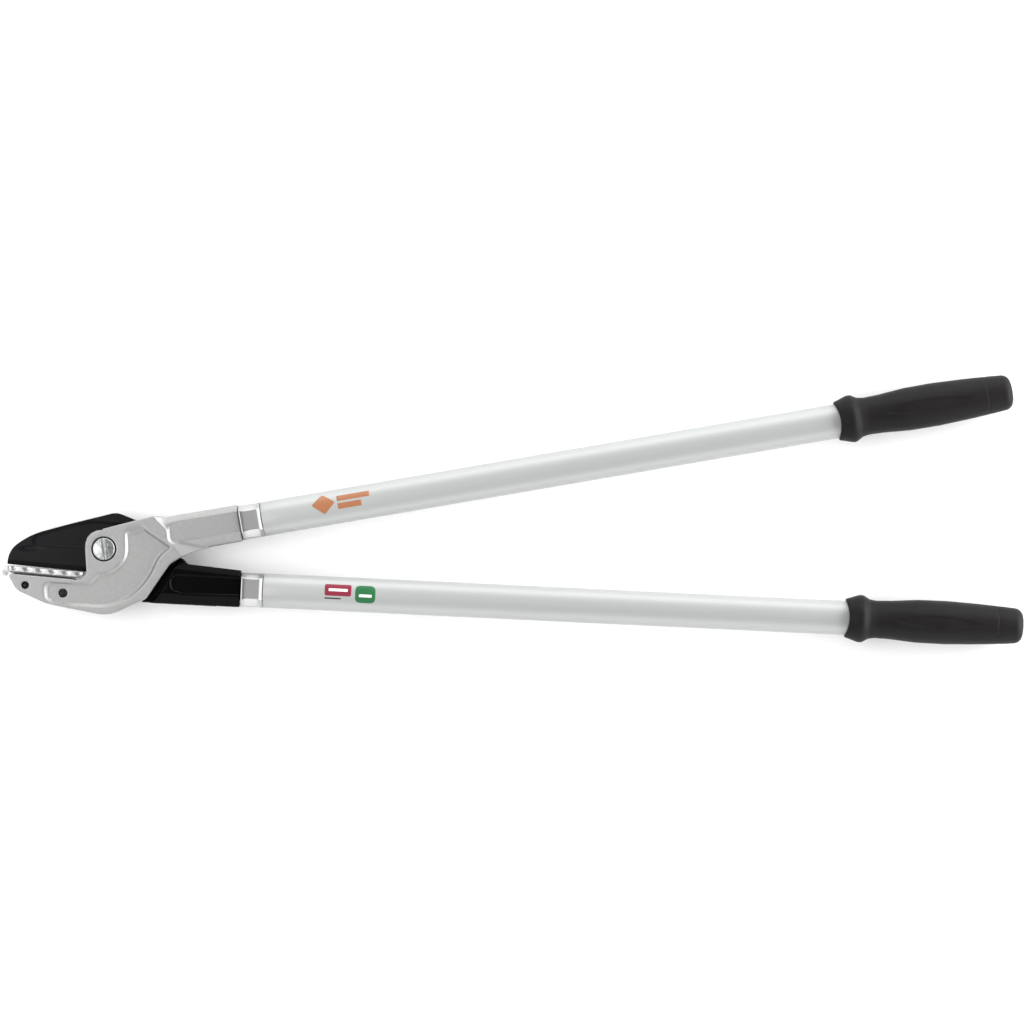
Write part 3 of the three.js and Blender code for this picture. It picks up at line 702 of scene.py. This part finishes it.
def blade_lever(material):
    """The black forging: a flat plate behind the blade, a thick shank with a sunk pad, and the tang."""
    step = np.full(3, 0.6)
    low = np.array([-18.0, -62.0, -11.0])
    x, y, z = block(low, (170.0, 18.0, 11.0), step)
    along, across = handle_line("lower", x, y)
    plate = arc_corners(
        [
            (-15.5, 15.5, 15),
            (12, 15.5, 12),
            (58, -9.8, 2),
            (64.5, -17, 3),
            (84, -20.3),
            (84, -50.6),
            (26.5, -43.8, 2),
            (11.5, -25, 4),
            (9, -15.5, 3),
            (-15.5, -15.5, 15),
        ]
    )
    top_edge = ((58.0, -14.8), (106.6, -23.6))
    bottom_edge = ((30.0, -44.4), (103.4, -52.4))
    shank = arc_corners(
        [(60.6, -11.0, 1), (64.5, -16.0, 3.5), (106.6, -23.6), (103.4, -52.4), (29.8, -44.3, 1)]
    )
    pad = arc_corners(
        [(51.0, -24.5, 6), (62, -25.2, 6), (116, -31.2), (116, -43.0), (60, -38.4, 9), (51.0, -34.5, 6)]
    )
    body = slab(within(plate, x, y), z, SHANK_BACK, SHANK_FRONT, 0.8)
    thick = slab(within(shank, x, y), z, -SOCKET_HALF_DEPTH, SOCKET_HALF_DEPTH, 1.0)
    slopes = socket_slopes(np.abs(z), beyond_line(x, y, *top_edge), beyond_line(x, y, *bottom_edge[::-1]))
    thick = both(thick, slopes, 1.0)
    thick = both(thick, along - SOCKET_END, 1.2)
    # The thick part starts outside the circle that the anvil lever's round back needs.
    thick = both(thick, np.maximum(55.5 - np.hypot(x, y), SHANK_FRONT - 2 - z), 1.5)
    body = join(body, thick, 1.5)
    body = join(body, tang(along, across, z), 1.0)
    floor = SOCKET_HALF_DEPTH - 1.6
    sunk = within(pad, x, y) - 0.8 * (z - floor)
    body = trim(body, np.maximum(sunk, floor - z), 1.2)
    body = trim(body, np.hypot(x, y) - BOLT_BORE, 0.2)
    for px, py in RIVETS.values():
        body = trim(body, np.hypot(x - px, y - py) - RIVET_HOLE_RADIUS, 0.2)
    pin_hole = np.maximum(np.hypot(along - TANG_PIN_PLACE, across) - TANG_PIN_HOLE_RADIUS, np.abs(z) - 6)
    body = trim(body, pin_hole, 0.3)
    points, faces = field_skin(body, low, step)
    node = "blade_lever"
    add_piece("forged_blade_lever", points, faces, HEAD, material, "blade_side", [node])


def pivot_bolt(material):
    """The bolt: a polished dome with a straight slot, and a shank down to its chamfered end."""
    step = np.full(3, 0.25)
    low = np.array([-9.6, -9.6, -19.6])
    x, y, z = block(low, (9.6, 9.6, 12.6), step)
    radius = np.hypot(x, y)
    ball = np.sqrt(x * x + y * y + (z - DOME_TOP + DOME_RADIUS) ** 2) - DOME_RADIUS
    head = both(slab(radius - BOLT_HEAD_RADIUS, z, 8.7, 13.0, 0.4), ball, 1.2)
    shank = slab(radius - BOLT_RADIUS, z, -PIVOT.z / MM, 9.5, 0.8)
    body = join(head, shank, 0.3)
    slot_half_width, slot_floor = 0.9, 9.4
    from_slot = tilted(x, y, math.radians(5))[0]
    body = trim(body, np.maximum(np.abs(from_slot) - slot_half_width, slot_floor - z), 0.3)
    points, faces = field_skin(body, low, step)
    add_piece("domed_pivot_bolt", points, faces, HEAD, material, "blade_side", ["pivot_bolt"])


def pivot_nut(material):
    """The hexagon nut, with its corners rounded by a cone and its bore open."""
    low_level, high_level = -17.2, -10.7
    step = np.full(3, 0.3)
    low = np.array([-10.2, -10.2, -18.2])
    x, y, z = block(low, (10.2, 10.2, -9.8), step)
    radius = np.hypot(x, y)
    flats = np.max([x * math.cos(a) + y * math.sin(a) for a in np.radians(np.arange(30, 390, 60))], axis=0)
    body = slab(flats - 8.0, z, low_level, high_level, 0.15)
    cone = (radius - 7.7 - (z - low_level) * 1.7) / math.hypot(1, 1.7)
    body = both(body, cone, 0.2)
    body = trim(body, radius - BOLT_RADIUS - 0.25, 0.3)
    points, faces = field_skin(body, low, step)
    add_piece("hexagon_nut", points, faces, HEAD, material, "blade_side", ["pivot_nut"])


def headed_pin(node, place, centre, head, shank, material, body):
    """A pin or rivet, domed underneath: head is (radius, low, high) and shank is (radius, top)."""
    head_radius, head_low, head_high = head
    shank_radius, top = shank
    dome = [(head_radius * math.cos(a), head_low + 1 - math.sin(a)) for a in np.radians(range(85, 5, -15))]
    profile = [(0.02, head_low)] + dome + [(head_radius, head_low + 1), (head_radius, head_high - 0.1)]
    profile += [(head_radius - 0.2, head_high), (shank_radius, head_high), (shank_radius, top - 0.4)]
    profile += [(shank_radius - 0.4, top), (0.02, top)]
    points, faces = skin(turned(profile, centre, 48))
    crease(add_piece("set_" + node, points, faces, place, material, body, [node]), 50)


# ---- A handle ----

COLLAR_START, COLLAR_END = 108.8, 126.0
COLLAR_HALF_HEIGHT, COLLAR_HALF_DEPTH = 13.6, 10.7
SPIGOT_END = 172.0
TUBE_START, TUBE_END = 126.3, 702.0
TUBE_HALF_HEIGHT, TUBE_HALF_DEPTH, TUBE_WALL = 13.5, 11.2, 1.5
GRIP_START, CAP_START = 585.0, 705.0


def add_handle_piece(name, node, side, shape, material, sharp_from):
    """A piece of one handle, with its edges above an angle kept sharp."""
    points, faces = shape
    names = [side + "_" + node]
    place = HANDLES[side]
    piece = add_piece(side + "_" + name, points, faces, place, material, BODIES[side], names)
    crease(piece, sharp_from)


def oval_ring(place, half_height, half_depth, sides):
    """An oval ring around a handle's axis."""
    angles = np.linspace(0, 2 * math.pi, sides, endpoint=False)
    return np.stack([np.full(sides, place), half_height * np.cos(angles), half_depth * np.sin(angles)], 1)


def collar_ring(place, grow=0.0):
    """An eight-sided ring of the ferrule's collar, whose facets widen towards both ends."""
    near_end = sum(math.exp(-(((place - end) / 3.0) ** 2)) for end in (COLLAR_START, COLLAR_END))
    top_facet, low_facet = 8.6 + 1.2 * near_end, 6.6 + 1.4 * near_end
    y, z = COLLAR_HALF_HEIGHT + grow, COLLAR_HALF_DEPTH + grow
    corners = [(y, -5.6, 2), (y, 5.6, 2), (top_facet, z, 1), (-low_facet, z, 1)]
    corners += [(-y, 5.0, 2), (-y, -5.0, 2), (-low_facet, -z, 1), (top_facet, -z, 1)]
    return np.array([(place, a, b) for a, b in arc_corners(corners, 8)])


def ferrule(side, material):
    """A pressed sleeve: its eight-sided collar opens out at both ends, its spigot fills the tube."""

    def spigot_ring(place, half_height, half_depth):
        """An oval ring whose points line up with the collar's."""
        along, y, z = collar_ring(place).T
        angles = np.arctan2(z / COLLAR_HALF_DEPTH, y / COLLAR_HALF_HEIGHT)
        return np.stack([along, half_height * np.cos(angles), half_depth * np.sin(angles)], 1)

    def bore_ring(place):
        """A ring of the rectangular bore, just larger than the tang."""
        ring = collar_ring(place)
        reach = np.abs(ring[:, 1:]) / (TANG_HALF_HEIGHT + CLEARANCE, TANG_HALF_DEPTH + CLEARANCE)
        ring[:, 1:] /= reach.max(axis=1, keepdims=True)
        return ring

    # Each step is (distance from the collar's near end, how far the surface stands out).
    lip = [(0, -0.9), (0.15, -0.35), (0.7, 0.1), (1.4, 0.1), (2.2, -0.25)]
    rings = [collar_ring(COLLAR_START + along, grow) for along, grow in lip]
    rings += [collar_ring(place, -0.3) for place in np.linspace(COLLAR_START + 3, COLLAR_END - 2, 12)]
    rings += [collar_ring(COLLAR_END - along, grow) for along, grow in ((1.2, -0.05), (0.4, 0.05), (0, -0.5))]
    rings += [spigot_ring(COLLAR_END, 11.7, 9.4), spigot_ring(SPIGOT_END - 0.6, 11.7, 9.4)]
    rings += [spigot_ring(SPIGOT_END, 11.1, 8.8), bore_ring(SPIGOT_END), bore_ring(COLLAR_START)]
    add_handle_piece("pressed_ferrule", "ferrule", side, skin(rings, True), material, 40)


def tube(side, material):
    """The oval tube, open at both ends, with slightly rounded rims."""
    outside = [(TUBE_START, -0.5), (TUBE_START + 0.15, -0.15), (TUBE_START + 0.6, 0)]
    outside += [(place, 0) for place in np.linspace(TUBE_START + 20, TUBE_END - 20, 24)]
    outside += [(TUBE_END - 0.3, 0), (TUBE_END, -0.3), (TUBE_END, -TUBE_WALL), (TUBE_START, -TUBE_WALL)]
    rings = [oval_ring(s, TUBE_HALF_HEIGHT + grow, TUBE_HALF_DEPTH + grow, 96) for s, grow in outside]
    add_handle_piece("lacquered_tube", "tube", side, skin(rings, True), material, 50)


def soft_profile(corners, places, radius):
    """A profile through corners, its bends rounded over a given length."""
    fine = np.arange(corners[0][0] - 3 * radius, corners[-1][0] + 3 * radius, 0.25)
    values = np.interp(fine, *zip(*corners))
    window = np.hanning(int(2 * radius / 0.25) + 3)
    return np.interp(places, fine, np.convolve(values, window / window.sum(), mode="same"))


GRIP_PROFILE = [
    (GRIP_START, 15.2),
    (GRIP_START + 5, 16.8),
    (GRIP_START + 10.5, 18.7),
    (GRIP_START + 13.5, 18.7),
    (GRIP_START + 18.5, 15.6),
    (GRIP_START + 24, 14.75),
    (GRIP_START + 36, 15.2),
    (GRIP_START + 56, 16.9),
    (GRIP_START + 78, 17.1),
    (GRIP_START + 102, 16.1),
    (CAP_START, 15.0),
    (CAP_START + 12, 14.2),
]


SCALLOP = 2.6
LEAF_MIDDLE, LEAF_HALF_LENGTH, LEAF_HALF_WIDTH, LEAF_DEPTH = 657.0, 36.0, 5.6, 0.75


def grip(side, material):
    """The soft grip: a flared guard, a waist, a full middle with a leaf-shaped hollow on each face."""
    sides = 144
    angles = np.linspace(0, 2 * math.pi, sides, endpoint=False)
    facing = np.sin(angles)
    places = np.arange(GRIP_START + 0.8, CAP_START - 0.6, 0.8)
    radii = soft_profile(GRIP_PROFILE, places, 2.2)

    def ring(place, radius, scallop=0.0, hollow=0.0):
        """A ring of the grip, drawn back on its flat faces and sunk where it is hollow."""
        pulled_back = place + scallop * facing**2
        return np.stack([pulled_back, (radius - hollow) * np.cos(angles), (radius - hollow) * facing], 1)

    def leaf(place, radius):
        """How deep the leaf is pressed in at each point around a ring."""
        span = (place - LEAF_MIDDLE) / LEAF_HALF_LENGTH
        if abs(span) >= 1:
            return np.zeros(sides)
        half_width = LEAF_HALF_WIDTH * (1 - span * span)
        from_middle = np.where(facing > 0, angles - math.pi / 2, angles - 1.5 * math.pi)
        return LEAF_DEPTH * eased((half_width - np.abs(from_middle) * radius) / 1.6)

    def scallop(place):
        """How far the guard's front is drawn back on the two flat faces, fading along the grip."""
        return SCALLOP * max(0.0, 1 - (place - GRIP_START) / 9)

    rings = [ring(GRIP_START, 14.1, SCALLOP), ring(GRIP_START + 0.1, 14.9, SCALLOP)]
    rings += [ring(s, r, scallop(s), leaf(s, r)) for s, r in zip(places, radii)]
    rings += [ring(CAP_START - 0.1, 14.9), ring(CAP_START, 14.75)]
    bore = (TUBE_HALF_HEIGHT + CLEARANCE, TUBE_HALF_DEPTH + CLEARANCE, sides)
    mouth = oval_ring(GRIP_START, *bore)
    mouth[:, X] += SCALLOP * facing**2
    rings += [oval_ring(CAP_START, *bore), mouth]
    add_handle_piece("soft_grip", "grip", side, skin(rings, True), material, 60)


def grip_cap(side, material):
    """The cap that closes the grip's end, with a plug in the tube."""
    start, end = CAP_START + 0.1, float(HANDLE_LENGTH)
    profile = [(TUBE_END - 20, 0.02), (TUBE_END - 20, 10.4), (TUBE_END - 19, 11.4), (start, 11.4)]
    profile += [(start, 14.75), (start + 0.1, 14.9), (start + 4, 14.75), (start + 9, 14.35)]
    bend = np.radians(np.arange(0, 91, 10))
    profile += [(end - 7 + 7 * math.sin(a), 7.0 + 7.0 * math.cos(a)) for a in bend]
    profile += [(end, 4.0), (end, 0.02)]
    rings = [oval_ring(s, r, r * (9.4 / 11.4 if s < start and r > 1 else 1), 96) for s, r in profile]
    add_handle_piece("end_cap", "grip_cap", side, skin(rings), material, 50)


# ---- Printed marks on the tubes: plain shapes, with no lettering ----


PATCH_ROWS = 12
INK_BACK, INK_FRONT, SECOND_COAT = 0.02, 0.05, 0.09  # levels above the lacquer


def printed_patch(name, side, outline, material, lift=INK_FRONT):
    """A thin patch of ink that follows the tube's oval, from an outline of (along, around) points."""
    corners = np.asarray(outline)
    after = np.roll(corners, -1, axis=0)
    steps = np.linspace(0, 1, 14)[:-1, None]  # short enough to follow the tube
    outline = np.concatenate([a + (b - a) * steps for a, b in zip(corners, after)])
    centre = corners.mean(axis=0)
    shrinking = np.linspace(1, 0, PATCH_ROWS + 1)

    def ring(share, level):
        """The outline shrunk to a share of its size, at a level above the tube."""
        along, around = (centre + (outline - centre) * share).T
        angle = math.pi / 2 - around / TUBE_HALF_HEIGHT
        height, depth = TUBE_HALF_HEIGHT + level, TUBE_HALF_DEPTH + level
        return np.stack([along, height * np.cos(angle), depth * np.sin(angle)], 1)

    rings = [ring(share, lift) for share in shrinking[::-1][1:]]
    rings += [ring(share, INK_BACK) for share in shrinking[:-1]]
    points, faces = skin(rings)
    add_piece(name, points, faces, HANDLES[side], material, BODIES[side])


def bar(start, end, low, high, radius=0.8):
    """A rounded bar from start to end along the handle."""
    return arc_corners([(a, b, radius) for a, b in ((start, low), (end, low), (end, high), (start, high))], 5)


def lozenge(along, around, half_length, half_width):
    """A rounded lozenge about a place."""
    points = [(-half_length, 0, 1.5), (0, -half_width, 1.5), (half_length, 0, 1.5), (0, half_width, 1.5)]
    return arc_corners([(along + a, around + b, r) for a, b, r in points], 5)


def printed_marks():
    """One orange mark on the upper tube, and a red and a green tag on the lower one."""
    orange = printing_ink("orange_ink", "#a46c48", "#996340")
    red = printing_ink("dark_red_ink", "#871e39", "#7a1932")
    green = printing_ink("green_ink", "#226b3d", "#1c5f35")
    black = printing_ink("black_ink", "#232323", "#2c2c2c")
    pale = printing_ink("white_ink", "#f0f0ee", "#e6e6e4")
    printed_patch("orange_lozenge", "upper", lozenge(176, 3.8, 9.4, 8.4), orange)
    printed_patch("orange_bar_long", "upper", bar(187, 213, 4.2, 8.8), orange)
    printed_patch("orange_bar_short", "upper", bar(187, 206, -2.2, 2.4), orange)
    printed_patch("red_tag", "lower", bar(175, 196, -1.3, 8.1, 1.6), red)
    printed_patch("red_tag_stripe", "lower", bar(178, 193, 2.3, 4.5, 0.6), pale, SECOND_COAT)
    printed_patch("green_tag", "lower", bar(199, 215, -6.2, 8.0, 4.5), green)
    printed_patch("green_tag_stripe", "lower", bar(202, 212, -1.4, 0.8, 0.6), pale, SECOND_COAT)
    printed_patch("black_bar", "lower", bar(175, 188, -3.9, -2.8, 0.5), black)


# ---- Light, floor and camera ----


def studio():
    """A soft sky and four broad lights around the object, brightest at the handles' end."""
    world = bpy.data.worlds.new("soft_sky")
    bpy.context.scene.world = world
    world.use_nodes = True
    world.node_tree.nodes["Background"].inputs["Color"].default_value = linear("#f5f5f4")
    world.node_tree.nodes["Background"].inputs["Strength"].default_value = 0.34
    centre = Vector((0.32, 0.0, 0.0))
    # name: (direction, height angle, distance, width, height, brightness)
    lights = {
        "handle_end_light": (5, 17, 2.2, 3.4, 1.2, 9.0),
        "upper_side_light": (90, 22, 1.9, 3.0, 1.2, 3.3),
        "jaw_end_light": (180, 48, 1.5, 1.2, 1.2, 2.8),
        "lower_side_light": (270, 22, 1.9, 3.0, 1.1, 2.1),
    }
    for name, (direction, rise, distance, width, height, brightness) in lights.items():
        lamp = bpy.data.lights.new(name, "AREA")
        lamp.shape = "RECTANGLE"
        lamp.size, lamp.size_y = width, height
        lamp.energy = brightness * math.pi * width * height
        turn, lift = math.radians(direction), math.radians(rise)
        outward = Vector((math.cos(turn) * math.cos(lift), math.sin(turn) * math.cos(lift), math.sin(lift)))
        holder = bpy.data.objects.new(name, lamp)
        holder.location = centre + outward * distance
        holder.rotation_euler = outward.to_track_quat("Z", "Y").to_euler()
        bpy.context.collection.objects.link(holder)


def floor():
    """A white floor that runs far past the object."""
    reach = 4.0
    mesh = bpy.data.meshes.new("floor")
    corners = [(-reach, -reach, 0), (reach, -reach, 0), (reach, reach, 0), (-reach, reach, 0)]
    mesh.from_pydata(corners, [], [(0, 1, 2, 3)])
    mesh.materials.append(painted_floor())
    sheet = bpy.data.objects.new("floor", mesh)
    bpy.context.collection.objects.link(sheet)


def camera():
    """A camera straight above, looking down, slightly turned so that the handles rise to the right."""
    height = 3.0
    view_width = 0.8049
    upper_faces = 0.008  # the tubes' front, above the middle plane
    made = bpy.data.cameras.new("camera")
    made.lens = made.sensor_width * height / view_width
    holder = bpy.data.objects.new("camera", made)
    holder.location = (0.3219, 0.0094, PIVOT.z + upper_faces + height)
    holder.rotation_euler = (0, 0, math.radians(-3.5))
    bpy.context.collection.objects.link(holder)
    bpy.context.scene.camera = holder


def head():
    """Every piece from the jaws to the levers' tangs, with the bolt and its nut."""
    steel, blackened = zinc_steel(), blackened_steel()
    anvil_lever(blasted_aluminium())
    anvil_plate(machined_alloy())
    for name in PINS:
        anvil_pin(name, blackened)
    bush_levels = (LEVER_BACK, COUNTERBORE_FLOOR)
    bush = ("bearing_bush", "pivot_bush", BOLT_BORE, BUSH_RADIUS, *bush_levels)
    ring_piece(*bush, sintered_bronze(), "anvil_side", "bronze")
    washer_low = COUNTERBORE_FLOOR + CLEARANCE
    # The thrust washer's black is partly painted shade: it darkens the ring round the bolt's head, where the
    # counterbore's gap lies in shadow.
    thrust = ("black_thrust_washer", "thrust_washer", BOLT_BORE, COUNTERBORE_RADIUS - CLEARANCE)
    ring_piece(*thrust, washer_low, washer_low + 1, nylon_and_painted_shade(), "anvil_side", "nylon")
    blade(blade_coating())
    blade_lever(black_lacquer())
    pivot_bolt(polished_steel())
    spring = ("plated_spring_washer", "spring_washer", BOLT_BORE, 8.6, -10.4, -8.8)
    ring_piece(*spring, steel, "blade_side", "zinc_steel", 0.3)
    pivot_nut(steel)
    for node, centre in RIVETS.items():
        headed_pin(node, HEAD, centre, (5.0, -11.0, -8.8), (2.6, 1.6), steel, "blade_side")


def handles():
    """Both handles: ferrule, tube, pins, grip and cap."""
    steel, lacquer, plastic = zinc_steel(), silver_lacquer(), soft_plastic()
    for side, place in HANDLES.items():
        along = MOUNTS[side + "_grip_end"]["axis"]
        bare = bare_aluminium(math.atan2(along[Y], along[X]))
        body = BODIES[side]
        ferrule(side, bare)
        tube(side, lacquer)
        pin, head_size, shank = side + "_tang_pin", (4.0, -12.5, -11.1), (2.5, 5.0)
        headed_pin(pin, place, (TANG_PIN_PLACE, 0), head_size, shank, steel, body)
        for name, spot in TUBE_RIVETS.items():
            rivet, head_size, shank = side + "_" + name, (4.7, -13.1, -11.5), (2.4, -6.0)
            headed_pin(rivet, place, (spot, 0), head_size, shank, bare, body)
        grip(side, plastic)
        grip_cap(side, plastic)


camera()
studio()
floor()
head()
handles()
printed_marks()
bpy.context.scene.view_settings.view_transform = "Standard"
